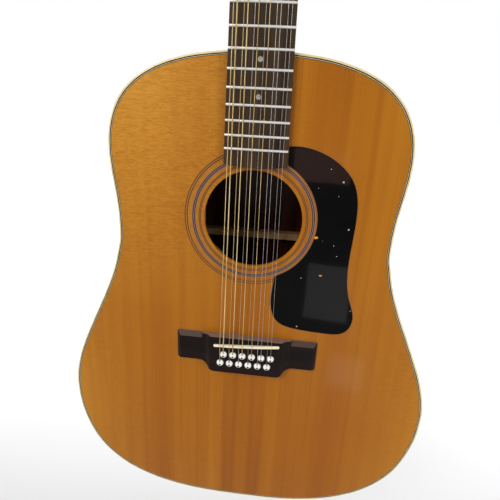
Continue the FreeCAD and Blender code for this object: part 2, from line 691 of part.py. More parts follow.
def make_heel():
    """The heel: round-nosed sections that shrink from the neck down to the cap."""
    sections = []
    for part, half_width, nose in ((0, 28, 84), (0.12, 27.4, 62), (0.3, 23.5, 41), (0.55, 18.5, 30),
                                   (0.8, 14.8, 25), (1, 13, 23)):
        depth = part * dim("heel_depth")
        ellipse = Part.Ellipse(Vector(), max(nose, half_width), min(nose, half_width))
        start = -math.pi / 2 if nose > half_width else 0
        arc = Part.ArcOfEllipse(ellipse, start, start + math.pi).toShape()
        if nose > half_width:
            arc.rotate(Vector(), UP, 90)
        wire = Part.Wire([arc, Part.makeLine(Vector(-half_width, 0, 0), Vector(half_width, 0, 0))])
        wire.rotate(Vector(), ACROSS, 90)
        wire.translate(Vector(0, depth, JOIN - 4))
        sections.append(wire)
    return Part.makeLoft(sections, True, False)


def headstock_outline():
    """Headstock plan in its own frame: shoulders flaring from the nut, and a crowned top."""
    nut_half, base, top = dim("nut_width") / 2, dim("headstock_base"), dim("headstock_top")
    length, crown = dim("headstock_length"), 9
    edges = []
    for sign in (-1, 1):
        shoulder = Part.BezierCurve()
        shoulder.setPoles([Vector(sign * nut_half, 0, 0), Vector(sign * nut_half, 14, 0),
                           Vector(sign * base, 10, 0), Vector(sign * base, 28, 0)])
        edges.append(shoulder.toShape())
        edges.append(Part.makeLine(Vector(sign * base, 28, 0), Vector(sign * top, length - crown, 0)))
    edges.append(Part.Arc(Vector(-top, length - crown, 0), Vector(0, length, 0),
                          Vector(top, length - crown, 0)).toShape())
    edges.append(Part.makeLine(Vector(-nut_half, 0, 0), Vector(nut_half, 0, 0)))
    return Part.Face(Part.Wire(Part.__sortEdges__(edges)))


def tuner_places():
    """Side and headstock height of the twelve machine heads: thick side going up, then thin side."""
    per_side = int(dim("string_count")) // 2
    for side in (-1, 1):
        for step in range(per_side):
            yield side, dim("tuner_first") + step * dim("tuner_pitch")


def in_head(shape, x=0, y=0, z=0):
    """A copy of a shape made in the headstock's frame, moved there and into the guitar's frame."""
    copy = shape.copy()
    copy.Placement = HEAD.multiply(Placement(Vector(x, y, z), Rotation())).multiply(copy.Placement)
    return copy


post_bores = Part.Compound([
    in_head(Part.makeCylinder(dim("bushing_radius"), 40, Vector(0, 0, -30), UP),
            side * dim("post_offset"), up) for side, up in tuner_places()])
rod_channel = block(-dim("rod_width") / 2, dim("rod_width") / 2, 0, dim("rod_depth"), JOIN + 1, 0)
nut_pocket = in_head(block(-6, 6, 0, 20, -9, 1))


# Heights of a gear cover's two screws above its post.
SCREW_RISES = (-4, 11)


def screw_places():
    """The two screws through each gear cover's ear, in the headstock's frame."""
    for side, up in tuner_places():
        for rise in SCREW_RISES:
            yield side * (dim("post_offset") - dim("ear_reach")), up + rise


def make_screw():
    """A wood screw going forward into the headstock, drawn from its seat on the back face."""
    shank = Part.makeCylinder(dim("screw_radius"), 7, Vector(0, 0, 0), UP)
    head = Part.makeCone(2.1, 1.6, 1.4, Vector(0, 0, -1), -UP)
    collar = Part.makeCylinder(2.1, 1, Vector(0, 0, -1), UP)
    slot = block(-3, 3, -0.3, 0.3, -3, -1.9)
    return shank.fuse([head, collar]).cut(slot).removeSplitter()


screw_solid = make_screw()
tuner_screws = Part.Compound([
    in_head(screw_solid, x, y, -dim("headstock_thickness") - dim("ear_thickness"))
    for x, y in screw_places()])
cover_screws = [
    in_head(screw_solid.mirror(Vector(), UP), x, y, dim("veneer_thickness") + 1.6)
    for x, y in ((0, 43), (-8, 6), (8, 6))]
screws = Part.Compound(tuner_screws.Solids + cover_screws)


def make_neck():
    """Shaft, heel and headstock in one piece of wood, fitted to the body with a tenon."""
    shaft_sections = []
    for height, depth in ((dim("nut_thickness"), dim("neck_depth")), (-330, dim("neck_depth") + 2.5),
                          (JOIN - 4, dim("neck_depth") + 3)):
        shaft_sections.append(half_round(board_half(height), depth, height))
    shaft = Part.makeLoft(shaft_sections, True, True)
    head = headstock_outline().extrude(UP * -dim("headstock_thickness"))
    back_edges = [edge for edge in head.Edges if edge.BoundBox.ZMax < 0.1 - dim("headstock_thickness")
                  and edge.BoundBox.YMax > 5]
    head = in_head(head.makeFillet(dim("headstock_round"), back_edges))
    body_room = slab(0, -1, 200).fuse(block(-300, 300, -5, 200, TAIL, JOIN - 3))
    wood = shaft.fuse([make_heel(), head]).cut(body_room)
    wood = wood.fuse(tenon).cut(rod_channel).cut(post_bores).cut(nut_pocket).cut(screws)
    return wood.removeSplitter()


neck = make_neck()
keep("neck", feature("neck", max(neck.Solids, key=lambda item: item.Volume)))
keep("tuner_screws", feature("tuner_screws", screws))

veneer = in_head(headstock_outline().extrude(UP * dim("veneer_thickness")))
keep("headstock_veneer", feature("headstock_veneer", veneer.cut(post_bores).cut(nut_pocket).cut(screws)))

truss_nut = in_head(Part.Face(Part.makePolygon([
    Vector(4 * math.cos(math.radians(60 * side)), 0, 4 * math.sin(math.radians(60 * side)) - 4.6)
    for side in range(7)])).extrude(Vector(0, 12, 0)), 0, 2)
keep("truss_rod", feature("truss_rod", Part.Compound([rod_channel, truss_nut])))

cover = padded_body("truss_rod_cover", "XY_Plane",
                    [("-12", "1"), ("12", "1"), ("12", "9"), ("4", "48"), ("-4", "48"), ("-12", "9")],
                    "1.6")
cover.Placement = HEAD.multiply(Placement(Vector(0, 0, dim("veneer_thickness")), Rotation()))
doc.recompute()
cover_drill = feature("cover_drill", screws)
cover_cut = doc.addObject("Part::Cut", "truss_rod_cover_drilled")
cover_cut.Base = cover
cover_cut.Tool = cover_drill
cover.Label = "truss_rod_cover_blank"
keep("truss_rod_cover", cover_cut)


def make_heel_cap():
    """A thin cap on the heel's end, cut to the same round nose."""
    arc = Part.ArcOfEllipse(Part.Ellipse(Vector(), 23, 13), -math.pi / 2, math.pi / 2).toShape()
    arc.rotate(Vector(), UP, 90)
    wire = Part.Wire([arc, Part.makeLine(Vector(-13, 0, 0), Vector(13, 0, 0))])
    wire.rotate(Vector(), ACROSS, 90)
    wire.translate(Vector(0, dim("heel_depth"), JOIN - 4))
    cap = Part.Face(wire).extrude(BACK * dim("heel_cap_thickness"))
    return cap.cut(slab(0, -1, 200)).cut(block(-300, 300, -5, 200, TAIL, JOIN - 3))


keep("heel_cap", feature("heel_cap", make_heel_cap()))


# ---------------------------------------------------------------- strings

INCH = 25.4
# Gauges from the thick side: each course's octave or twin string comes first.
GAUGES = (0.027, 0.047, 0.018, 0.039, 0.012, 0.030, 0.009, 0.023, 0.014, 0.014, 0.010, 0.010)
WOUND = (0, 1, 2, 3, 5, 7)
NUT_EDGE = 2.7
PAIR_AT_NUT = 2.3


def nut_place(number):
    """X of a string at the nut."""
    course, second = divmod(number, 2)
    spread = dim("nut_width") - 2 * 3.2
    spacing = (spread - PAIR_AT_NUT) / 5
    return -spread / 2 + course * spacing + second * PAIR_AT_NUT


def crown_drop(x):
    """How far the fingerboard's curve falls away at x."""
    return x * x / (2 * dim("board_radius"))


def bent_line(points, radii):
    """A wire of straight runs with a tangent arc of the given radius at each inner point."""
    edges, start = [], points[0]
    for before, corner, after, radius in zip(points, points[1:], points[2:], radii):
        inward, outward = (before - corner).normalize(), (after - corner).normalize()
        angle = inward.getAngle(outward)
        back_off = radius / math.tan(angle / 2)
        first, last = corner + inward * back_off, corner + outward * back_off
        bisector = (inward + outward).normalize()
        middle = corner + bisector * (radius / math.sin(angle / 2) - radius)
        edges.append(Part.makeLine(start, first))
        edges.append(Part.Arc(first, middle, last).toShape())
        start = last
    edges.append(Part.makeLine(start, points[-1]))
    return Part.Wire(edges)


def make_winding(inner, radius):
    """The turns round a post: rings pressed side by side on a thin sleeve, in the post's own frame."""
    pitch = dim("winding_pitch") * radius
    half = dim("winding_turns") * pitch / 2
    sleeve = Part.makeCylinder(inner + radius, 2 * half, Vector(0, 0, -half), UP).cut(
        Part.makeCylinder(inner, 2 * half, Vector(0, 0, -half), UP))
    rings = [Part.makeTorus(inner + radius, radius, Vector(0, 0, (turn + 0.5) * pitch - half), UP)
             for turn in range(int(dim("winding_turns")))]
    return sleeve.fuse(rings)


def make_string(number, pin, tuner):
    """One string from its pin, over saddle and nut, to the winding on its post."""
    radius = GAUGES[number] * INCH / 2
    pin_x, pin_z = pin
    spread = -0.5 if number % 2 == 0 else 0
    side, up = tuner
    slope = math.tan(math.radians(dim("saddle_slant")))
    saddle_x = pin_x + spread
    saddle_z = JOIN - dim("saddle_below_join") + (saddle_x - dim("saddle_middle")) * slope
    saddle_top = -dim("bridge_height") - dim("saddle_rise") + crown_drop(saddle_x - dim("saddle_middle"))
    saddle_y = saddle_top - radius - dim("string_lift")
    nut_x = nut_place(number)
    nut_y = -dim("board_thickness") - dim("fret_height") - 0.7 - radius + crown_drop(nut_x)
    sleeve_inner = dim("post_radius") + 2 * dim("running_gap")
    winding_level = dim("veneer_thickness") + 6
    post_x = side * (dim("post_offset") - sleeve_inner - radius)
    end = HEAD.multVec(Vector(post_x, up, winding_level))
    entry = -dim("bridge_height") - 0.8
    points = [
        Vector(pin_x, entry + 7, pin_z + 2), Vector(pin_x, entry, pin_z + 2),
        Vector(saddle_x, saddle_y, saddle_z), Vector(nut_x, nut_y, NUT_EDGE), end]
    path = bent_line(points, (1.2, 3, 8))
    start_circle = Part.Wire(Part.makeCircle(radius, points[0], FRONT))
    string = path.makePipeShell([start_circle], True, False)
    winding = in_head(make_winding(sleeve_inner, radius), side * dim("post_offset"), up, winding_level)
    return string.fuse(winding)


places = list(tuner_places())
# The outermost string on each side goes to the lowest post of that side.
string_posts = places[:6] + places[:5:-1]
strings = [make_string(number, pin, tuner)
           for number, (pin, tuner) in enumerate(zip(pin_places(), string_posts))]
keep("wound_strings", feature("wound_strings", Part.Compound([strings[number] for number in WOUND])))
keep("plain_strings", feature("plain_strings", Part.Compound(
    [item for number, item in enumerate(strings) if number not in WOUND])))


def make_nut():
    """The nut: a crowned strip in which the strings lie half their thickness deep."""
    half, deep = dim("nut_width") / 2, dim("nut_thickness")
    rise = dim("board_thickness") + dim("fret_height") + 0.8
    strip = block(-half, half, -rise, 0, 0, deep)
    crown = Part.makeCylinder(dim("board_radius"), deep + 2, Vector(0, dim("board_radius") - rise, -1), UP)
    strip = strip.common(crown)
    for string in strings:
        strip = strip.cut(string)
    return strip


keep("nut", feature("nut", make_nut()))


# ---------------------------------------------------------------- machine heads

def make_wheel():
    """The worm wheel: straight-sided teeth round a disc, in its own frame with Z along the post."""
    teeth, outer = int(dim("wheel_teeth")), dim("wheel_radius")
    root = outer - 1
    pitch = 2 * math.pi / teeth
    points = []
    for tooth in range(teeth):
        for reach, share in ((root, -0.32), (outer, -0.17), (outer, 0.17), (root, 0.32)):
            angle = (tooth + share) * pitch
            points.append(Vector(reach * math.cos(angle), reach * math.sin(angle), 0))
    return Part.Face(Part.makePolygon(points + points[:1])).extrude(UP * dim("wheel_thickness"))


WHEEL_LEVEL = -dim("headstock_thickness") - 2.6 - dim("wheel_thickness")
wheel_solid = make_wheel()
wheel_solid.translate(UP * WHEEL_LEVEL)
WORM_LEVEL = WHEEL_LEVEL + dim("wheel_thickness") / 2


def make_post():
    """String post with its worm wheel, in the headstock's frame about its own axis."""
    bottom = WHEEL_LEVEL - 0.8
    top = dim("veneer_thickness") + dim("post_rise")
    radius = dim("post_radius")
    stem = Part.makeCylinder(radius, top - bottom - 1, Vector(0, 0, bottom), UP)
    tip = Part.makeCone(radius, radius - 0.8, 1, Vector(0, 0, top - 1), UP)
    hole = Part.makeCylinder(0.9, 20, Vector(-10, 0, top - 3.2), ACROSS)
    return stem.fuse([tip, wheel_solid]).cut(hole).removeSplitter()


def make_button(side):
    """Worm, shaft and oval button on one axis, for a machine head on the given side."""
    inner_end = -dim("housing_width") / 2 + dim("housing_wall") + 0.4
    grip_start = dim("headstock_top") - dim("post_offset") + 9
    axis = ACROSS * side
    worm = Part.makeCylinder(dim("worm_radius"), dim("worm_length"), axis * (-dim("worm_length") / 2), axis)
    shaft = Part.makeCylinder(dim("shaft_radius"), grip_start - inner_end + 1, axis * inner_end, axis)
    collar = Part.makeCylinder(dim("shaft_collar"), 2, axis * (grip_start - 1.5), axis)
    ellipse = Part.Ellipse(Vector(), dim("button_length") / 2, dim("button_width") / 2)
    face = Part.Face(Part.Wire(ellipse.toShape()))
    grip = face.extrude(UP * dim("button_thickness"))
    rims = [edge for edge in grip.Edges if edge.Length > dim("button_length")]
    grip = grip.makeFillet(dim("button_round"), rims)
    grip.rotate(Vector(), UP, 90)
    grip_middle = grip_start + dim("button_width") / 2 - 0.2
    grip.translate(Vector(side * grip_middle, 0, -dim("button_thickness") / 2))
    return worm.fuse([shaft, collar, grip]).removeSplitter()


def make_housing(side):
    """A closed gear cover on the headstock's back, open to the wood, with a bore for the worm shaft."""
    width, length, deep, wall = (dim(name) for name in
                                 ("housing_width", "housing_length", "housing_depth", "housing_wall"))
    centre = dim("worm_distance") / 2
    back_face = -dim("headstock_thickness")
    outer = block(-width / 2, width / 2, centre - length / 2, centre + length / 2,
                  back_face - deep, back_face)
    outer = outer.makeFillet(dim("housing_round"),
                             [edge for edge in outer.Edges if edge.BoundBox.ZMax < back_face - 0.1])
    room = block(-width / 2 + wall, width / 2 - wall,
                 centre - length / 2 + wall, centre + length / 2 - wall,
                 back_face - deep + wall, back_face + 1)
    bore = Part.makeCylinder(dim("shaft_radius") + dim("running_gap"), width,
                             Vector(0, dim("worm_distance"), WORM_LEVEL), ACROSS * side)
    reach, thick, margin = dim("ear_reach"), dim("ear_thickness"), dim("ear_margin")
    tip = reach + margin
    edges = sorted((-side * tip, 0))
    ear = block(edges[0], edges[1], SCREW_RISES[0] - margin, SCREW_RISES[1] + margin,
                back_face - thick, back_face)
    corners = [edge for edge in ear.Edges if abs(edge.CenterOfMass.x) > tip - 0.1
               and abs(edge.tangentAt(edge.FirstParameter).z) > 0.9]
    ear = ear.makeFillet(dim("ear_round"), corners)
    for rise in SCREW_RISES:
        hole_foot = Vector(-side * reach, rise, back_face - 3)
        ear = ear.cut(Part.makeCylinder(dim("screw_radius"), 4, hole_foot, UP))
    return outer.fuse(ear).cut(room).cut(bore).removeSplitter()


def make_bushing():
    """A flanged tube let into the headstock's front, round the post."""
    tube = Part.makeCylinder(dim("bushing_radius"), 10, Vector(0, 0, dim("veneer_thickness") - 10), UP)
    flange = Part.makeCylinder(dim("flange_radius"), dim("flange_thickness"),
                               Vector(0, 0, dim("veneer_thickness")), UP)
    bore = Part.makeCylinder(dim("post_radius") + dim("running_gap"), 20, Vector(0, 0, -10), UP)
    return tube.fuse(flange).cut(bore).removeSplitter()


post_solid = make_post()
bushing_solid = make_bushing()
housings, bushings = [], []
for index, (side, up) in enumerate(tuner_places(), start=1):
    x = side * dim("post_offset")
    keep(f"tuner_post_{index:02d}", feature(f"tuner_post_{index:02d}", in_head(post_solid, x, up)))
    button = in_head(make_button(side), x, up + dim("worm_distance"), WORM_LEVEL)
    keep(f"tuner_button_{index:02d}", feature(f"tuner_button_{index:02d}", button))
    housings.append(in_head(make_housing(side), x, up))
    bushings.append(in_head(bushing_solid, x, up))
keep("tuner_housings", feature("tuner_housings", Part.Compound(housings)))
keep("tuner_bushings", feature("tuner_bushings", Part.Compound(bushings)))


# ---------------------------------------------------------------- end pin

end_pin = turned_body("end_pin", [
    ("0", "-Dimensions.end_pin_rise"), ("Dimensions.end_pin_head - 2", "-Dimensions.end_pin_rise"),
    ("Dimensions.end_pin_head", "-Dimensions.end_pin_rise + 2"), ("Dimensions.end_pin_head", "-5"),
    ("3.6", "-4"), ("3.6", "-1.5"), ("5.5", "-0.8"), ("5.5", "0"),
    ("Dimensions.end_pin_radius", "0"), ("Dimensions.end_pin_radius", "20"), ("0", "20")])
end_pin.setExpression("Placement.Base.y", "Dimensions.depth_at_tail / 2")
end_pin.setExpression("Placement.Base.z", JOIN_CELL + " - Dimensions.body_length")
keep("end_pin", end_pin)


# ---------------------------------------------------------------- checks and export

doc.recompute()
for item in doc.Objects:
    if "Invalid" in item.State or "Error" in item.State:
        raise RuntimeError(f"{item.Label} did not recompute: {item.State}")
for name, item in nodes.items():
    if item.Shape.isNull() or not item.Shape.isValid():
        raise RuntimeError(f"{name} has no valid shape")

os.makedirs("parts", exist_ok=True)
for name, item in nodes.items():
    item.Shape.exportStep(f"parts/{name}.step")
print(len(nodes), "sub-parts written")
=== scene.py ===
import math

import bpy
from mathutils import Matrix, Vector


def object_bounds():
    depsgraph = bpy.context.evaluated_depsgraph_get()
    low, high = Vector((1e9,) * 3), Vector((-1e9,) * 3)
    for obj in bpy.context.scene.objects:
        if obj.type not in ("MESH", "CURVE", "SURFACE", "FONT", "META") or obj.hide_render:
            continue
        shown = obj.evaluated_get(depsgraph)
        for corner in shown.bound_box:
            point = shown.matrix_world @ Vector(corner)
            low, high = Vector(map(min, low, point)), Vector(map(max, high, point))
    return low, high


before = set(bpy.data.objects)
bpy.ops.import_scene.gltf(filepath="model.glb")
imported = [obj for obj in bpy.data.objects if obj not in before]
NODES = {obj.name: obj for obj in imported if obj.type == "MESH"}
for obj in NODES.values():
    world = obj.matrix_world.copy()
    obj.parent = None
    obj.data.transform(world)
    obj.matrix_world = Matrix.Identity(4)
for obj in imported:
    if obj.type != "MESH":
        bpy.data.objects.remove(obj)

CAD_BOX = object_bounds()

# ------------------------------------------------------------------ places in the guitar's frame, metres

SCALE_LENGTH, JOIN_FRET, HOLE_BELOW_JOIN = 0.6477, 14, 0.1528
JOIN = -SCALE_LENGTH * (1 - 2 ** (-JOIN_FRET / 12))
HOLE_HEIGHT = JOIN - HOLE_BELOW_JOIN
TUNERS = 12
# Two chips in the pickguard that show an amber colour: across, up and size.
CHIPS = ((0.0634, JOIN - 0.166, 0.0016), (0.072, JOIN - 0.206, 0.0011))


# ------------------------------------------------------------------ camera, lights and stage

def make_camera():
    """The camera stands in front of the upper bout, a little to the thin-string side, and looks down."""
    place = Vector((0.034, -0.3927, JOIN - 0.0447))
    forward = Vector((-0.0842, 0.9386, -0.3346)).normalized()
    up = Vector((-0.0805, 0.3283, 0.9411))
    data = bpy.data.cameras.new("camera")
    data.lens, data.sensor_width = 29.6, 36
    camera = bpy.data.objects.new("camera", data)
    right = forward.cross(up).normalized()
    up = right.cross(forward)
    turn = Matrix((right, up, -forward)).transposed().to_4x4()
    camera.matrix_world = Matrix.Translation(place) @ turn
    bpy.context.scene.collection.objects.link(camera)
    bpy.context.scene.camera = camera


def area_light(name, place, target, size, watts, colour=(1, 1, 1), spread=180):
    """A soft rectangular light aimed at a point. spread is how wide its beam opens, in degrees."""
    data = bpy.data.lights.new(name, "AREA")
    data.spread = math.radians(spread)
    data.shape, data.size, data.size_y = "RECTANGLE", size[0], size[1]
    data.energy, data.color = watts, colour
    light = bpy.data.objects.new(name, data)
    aim = (Vector(target) - Vector(place)).to_track_quat("-Z", "Y")
    light.matrix_world = Matrix.Translation(place) @ aim.to_matrix().to_4x4()
    bpy.context.scene.collection.objects.link(light)


def make_stage():
    """A wide, level, pale floor a little below the guitar that glows on its own, brightest behind it."""
    drop, reach = 0.12, 30.0
    height = CAD_BOX[0][2] - drop
    corners = [(-reach, -reach), (reach, -reach), (reach, reach), (-reach, reach)]
    mesh = bpy.data.meshes.new("floor")
    mesh.from_pydata([(x, y, height) for x, y in corners], [], [(0, 1, 2, 3)])
    floor = bpy.data.objects.new("floor", mesh)
    bpy.context.scene.collection.objects.link(floor)
    kit = Kit("floor_paper", 0.9)
    kit.set("Base Color", (0.58, 0.58, 0.59, 1))
    kit.set("Specular IOR Level", 0.0)
    kit.set("Emission Color", (1, 1, 1, 1))
    # Painted light: the floor glows, from none in front of the guitar to brightest behind it.
    kit.set("Emission Strength", kit.level(kit.axes[1], -0.2, 0.6, 0, 0.9))
    mesh.materials.append(kit.material)


def make_world():
    """Soft white surroundings, brighter behind the guitar than in front of it."""
    world = bpy.data.worlds.new("studio")
    world.use_nodes = True
    nodes, links = world.node_tree.nodes, world.node_tree.links
    direction = nodes.new("ShaderNodeTexCoord").outputs["Generated"]
    axes = nodes.new("ShaderNodeSeparateXYZ")
    depth = nodes.new("ShaderNodeMapRange")
    for name, value in (("From Min", -0.3), ("From Max", 0.4), ("To Min", 0.38), ("To Max", 1.0)):
        depth.inputs[name].default_value = value
    links.new(direction, axes.inputs[0])
    links.new(axes.outputs["Y"], depth.inputs["Value"])
    background = nodes["Background"]
    background.inputs["Color"].default_value = (1, 1, 1, 1)
    links.new(depth.outputs[0], background.inputs["Strength"])
    bpy.context.scene.world = world


# ------------------------------------------------------------------ material kit

class Kit:
    """A material under construction: a principled surface and helpers that add texture nodes to it."""

    def __init__(self, name, roughness, metallic=0.0):
        self.material = bpy.data.materials.new(name)
        self.material.use_nodes = True
        self.tree = self.material.node_tree
        self.surface = self.tree.nodes["Principled BSDF"]
        self.set("Roughness", roughness)
        self.set("Metallic", metallic)
        self.place = self.add("ShaderNodeTexCoord").outputs["Object"]
        self.axes = self.add("ShaderNodeSeparateXYZ", Vector=self.place).outputs

    def add(self, kind, settings=None, **inputs):
        """Adds a node, sets its options, and feeds its inputs by name, or by number as in n0."""
        node = self.tree.nodes.new(kind)
        for key, value in (settings or {}).items():
            setattr(node, key, value)
        for key, value in inputs.items():
            numbered = key[0] == "n" and key[1:].isdigit()
            socket = int(key[1:]) if numbered else key.replace("_", " ")
            self.feed(node.inputs[socket], value)
        return node

    def feed(self, socket, value):
        """Links the socket when value is another node's output, and otherwise sets it."""
        if isinstance(value, bpy.types.NodeSocket):
            self.tree.links.new(value, socket)
        else:
            socket.default_value = value

    def set(self, socket, value):
        """Sets or links one of the surface's own inputs."""
        self.feed(self.surface.inputs[socket], value)

    def math(self, operation, first, second=0.0):
        """A sum, product or other plain operation on numbers."""
        return self.add("ShaderNodeMath", {"operation": operation}, n0=first, n1=second).outputs[0]

    def vector(self, x, y, z):
        """Three numbers as one place."""
        return self.add("ShaderNodeCombineXYZ", X=x, Y=y, Z=z).outputs[0]

    def scaled(self, x, y, z, vector=None):
        """The place, stretched: high numbers give fine detail along that axis."""
        return self.add("ShaderNodeVectorMath", {"operation": "MULTIPLY"},
                        n0=self.place if vector is None else vector, n1=(x, y, z)).outputs[0]

    def facing(self):
        """Which way the surface looks, as three outputs."""
        normal = self.add("ShaderNodeNewGeometry").outputs["Normal"]
        return self.add("ShaderNodeSeparateXYZ", Vector=normal).outputs

    def noise(self, vector, scale=1.0, detail=4.0, roughness=0.55, distortion=0.0):
        """Cloudy variation from 0 to 1."""
        return self.add("ShaderNodeTexNoise", Vector=vector, Scale=scale, Detail=detail,
                        Roughness=roughness, Distortion=distortion).outputs["Fac"]

    def ramp(self, factor, stops, smooth=False):
        """A colour or grey value read from (position, colour) stops."""
        node = self.add("ShaderNodeValToRGB", Fac=factor)
        node.color_ramp.interpolation = "EASE" if smooth else "LINEAR"
        elements = node.color_ramp.elements
        while len(elements) < len(stops):
            elements.new(0.5)
        for element, (position, colour) in zip(elements, stops):
            element.position = position
            element.color = colour if len(colour) == 4 else (*colour, 1)
        return node.outputs["Color"]

    def level(self, factor, low, high, start=0.0, end=1.0):
        """factor mapped from low..high to start..end and clamped."""
        return self.add("ShaderNodeMapRange", {"clamp": True}, Value=factor, From_Min=low, From_Max=high,
                        To_Min=start, To_Max=end).outputs[0]

    def mix(self, factor, first, second, mode="MIX"):
        """Two colours blended by factor. Inputs 6 and 7 and output 2 are the node's colour ones."""
        node = self.add("ShaderNodeMix", {"data_type": "RGBA", "blend_type": mode})
        self.feed(node.inputs[0], factor)
        self.feed(node.inputs[6], first)
        self.feed(node.inputs[7], second)
        return node.outputs[2]

    def bump(self, height, distance, strength=1.0, normal=None):
        """Raises the surface by height (0 to 1) times distance in metres."""
        node = self.add("ShaderNodeBump", Height=height, Distance=distance, Strength=strength)
        if normal is not None:
            self.feed(node.inputs["Normal"], normal)
        return node.outputs["Normal"]

    def coat(self, amount, roughness):
        """A clear lacquer over the surface."""
        self.set("Coat Weight", amount)
        self.set("Coat Roughness", roughness)


def linear(red, green, blue):
    """An everyday 0 to 255 colour as a linear one, opaque."""
    def one(value):
        value /= 255
        return value / 12.92 if value <= 0.04045 else ((value + 0.055) / 1.055) ** 2.4
    return (one(red), one(green), one(blue), 1)


# ------------------------------------------------------------------ woods

def spruce_top():
    """Aged spruce under gloss: mirrored straight grain, silky cross figure, painted light on the upper
    left, painted shade low on the thin-string side, scratches.
    """
    kit = Kit("spruce_top", 0.34)
    x, z = kit.axes[0], kit.axes[2]
    mirrored = kit.math("ABSOLUTE", x)
    sway = kit.noise(kit.scaled(6, 1, 3), 1, 2)
    across = kit.math("ADD", mirrored, kit.math("MULTIPLY", sway, 0.004))

    def grain(fineness, length, detail, roughness, offset=0):
        stretched = kit.vector(kit.math("MULTIPLY", across, fineness), offset,
                               kit.math("MULTIPLY", z, length))
        return kit.noise(stretched, 1, detail, roughness)

    fine = grain(900, 5, 2, 0.5)
    broad = grain(110, 1.5, 3, 0.6)
    wide = grain(34, 1, 2, 0.5, 3)
    base = kit.ramp(wide, [(0.3, linear(150, 85, 8)), (0.46, linear(164, 97, 10)),
                           (0.6, linear(171, 105, 13)), (0.72, linear(178, 113, 17))], True)
    streaks = kit.ramp(broad, [(0.3, linear(214, 194, 166)), (0.5, (1, 1, 1)),
                               (0.75, linear(255, 250, 238))])
    colour = kit.mix(0.45, base, streaks, "MULTIPLY")
    lines = kit.ramp(fine, [(0.33, linear(205, 182, 150)), (0.5, (1, 1, 1))])
    colour = kit.mix(0.25, colour, lines, "MULTIPLY")
    height = kit.math("SUBTRACT", z, JOIN)
    # Painted light: the upper left of the top is painted paler and more golden, where the key light falls.
    painted_light_upper_left = kit.math("MULTIPLY", kit.level(x, 0.03, -0.1), kit.level(height, -0.26, -0.03))
    colour = kit.mix(kit.math("MULTIPLY", painted_light_upper_left, 0.7), colour, linear(220, 158, 58))
    # Painted shade: the lower part of the top, towards the thin-string side, is painted darker, where less
    # light falls.
    painted_shade_lower_right = kit.math("MULTIPLY", kit.level(x, -0.06, 0.06), kit.level(height, -0.2, -0.4))
    colour = kit.mix(kit.math("MULTIPLY", painted_shade_lower_right, 0.35), colour, linear(146, 78, 8))
    colour = kit.mix(kit.level(mirrored, 0.11, 0.2, 0, 0.5), colour, linear(204, 140, 38))
    silk = kit.noise(kit.scaled(110, 1, 560), 1, 2, 0.5, 1.4)
    silk_zone = kit.math("MAXIMUM", kit.level(painted_light_upper_left, 0.0, 0.35),
                         kit.level(kit.noise(kit.scaled(5, 1, 4), 1, 2), 0.4, 0.64, 0, 0.75))
    ripple = kit.ramp(silk, [(0.3, linear(214, 198, 170)), (0.62, (1, 1, 1))])
    colour = kit.mix(kit.math("MULTIPLY", silk_zone, 0.7), colour, ripple, "MULTIPLY")
    seam = kit.level(mirrored, 0.0, 0.00045, 0.3, 0)
    colour = kit.mix(seam, colour, linear(92, 50, 14))
    kit.set("Base Color", colour)
    scratch = kit.noise(kit.scaled(60, 30, 520), 1, 5, 0.7, 1.2)
    kit.set("Roughness", kit.level(scratch, 0.35, 0.75, 0.28, 0.46))
    relief = kit.bump(fine, 0.00004, 0.5)
    relief = kit.bump(silk, 0.00003, 0.3, relief)
    kit.set("Normal", kit.bump(kit.noise(kit.scaled(9, 9, 7), 1, 2), 0.0004, 0.25, relief))
    kit.set("Specular IOR Level", 0.16)
    kit.coat(0.2, 0.1)
    return kit.material


def bare_spruce():
    """Unfinished brace wood, aged, and painted darker still as shade for its place inside the body."""
    kit = Kit("bare_spruce", 0.75)
    grain = kit.noise(kit.scaled(160, 500, 160), 1, 3)
    # Painted shade: these colours are darker than the wood's own, standing in for the shade inside the
    # body.
    kit.set("Base Color", kit.ramp(grain, [(0.3, linear(136, 100, 58)), (0.7, linear(170, 134, 84))]))
    kit.set("Normal", kit.bump(grain, 0.0001))
    return kit.material


def rosewood(name, along, dark, middle, light, roughness, coat=0.0, pores=0.5, painted_top_highlight=0.0,
             bare_inside=False):
    """Dark wood with ribbon streaks and open pores. along is the grain axis: 0 across, 2 up.

    rubbed is how much paler the faces that look up the neck are painted, a painted highlight where the
    light from above falls on them. bare_inside leaves the faces that look towards the soundboard without
    lacquer."""
    kit = Kit(name, roughness)

    def stretched(fine, long):
        factors = [fine, fine, fine]
        factors[along] = long
        return kit.scaled(*factors)

    ribbon = kit.noise(stretched(26, 1.2), 1, 4, 0.6, 0.8)
    streak = kit.noise(stretched(90, 3), 1, 5, 0.65, 0.4)
    pore = kit.noise(stretched(1500, 55), 1, 2, 0.5)
    base = kit.ramp(ribbon, [(0.3, dark), (0.5, middle), (0.72, light)])
    shade = kit.ramp(streak, [(0.35, linear(120, 100, 90)), (0.6, (1, 1, 1))])
    colour = kit.mix(0.7, base, shade, "MULTIPLY")
    pits = kit.level(pore, 0.34, 0.42, 1, 0)
    colour = kit.mix(kit.math("MULTIPLY", pits, pores), colour, dark)
    facing = kit.facing()
    # Painted highlight: faces that look up the neck are painted a pale pinkish brown, where the light from
    # above catches them.
    wear_and_painted_highlight = kit.level(facing["Z"], 0.35, 0.8, 0, painted_top_highlight)
    colour = kit.mix(wear_and_painted_highlight, colour, linear(150, 122, 108))
    kit.set("Base Color", colour)
    kit.set("Roughness", kit.level(streak, 0.3, 0.7, roughness - 0.06, roughness + 0.1))
    kit.set("Normal", kit.bump(kit.math("SUBTRACT", 1, pits), 0.00005, 0.6))
    kit.set("Specular IOR Level", 0.16)
    kit.coat(kit.level(facing["Y"], -0.6, -0.3, 0, coat) if bare_inside else coat, 0.1)
    return kit.material


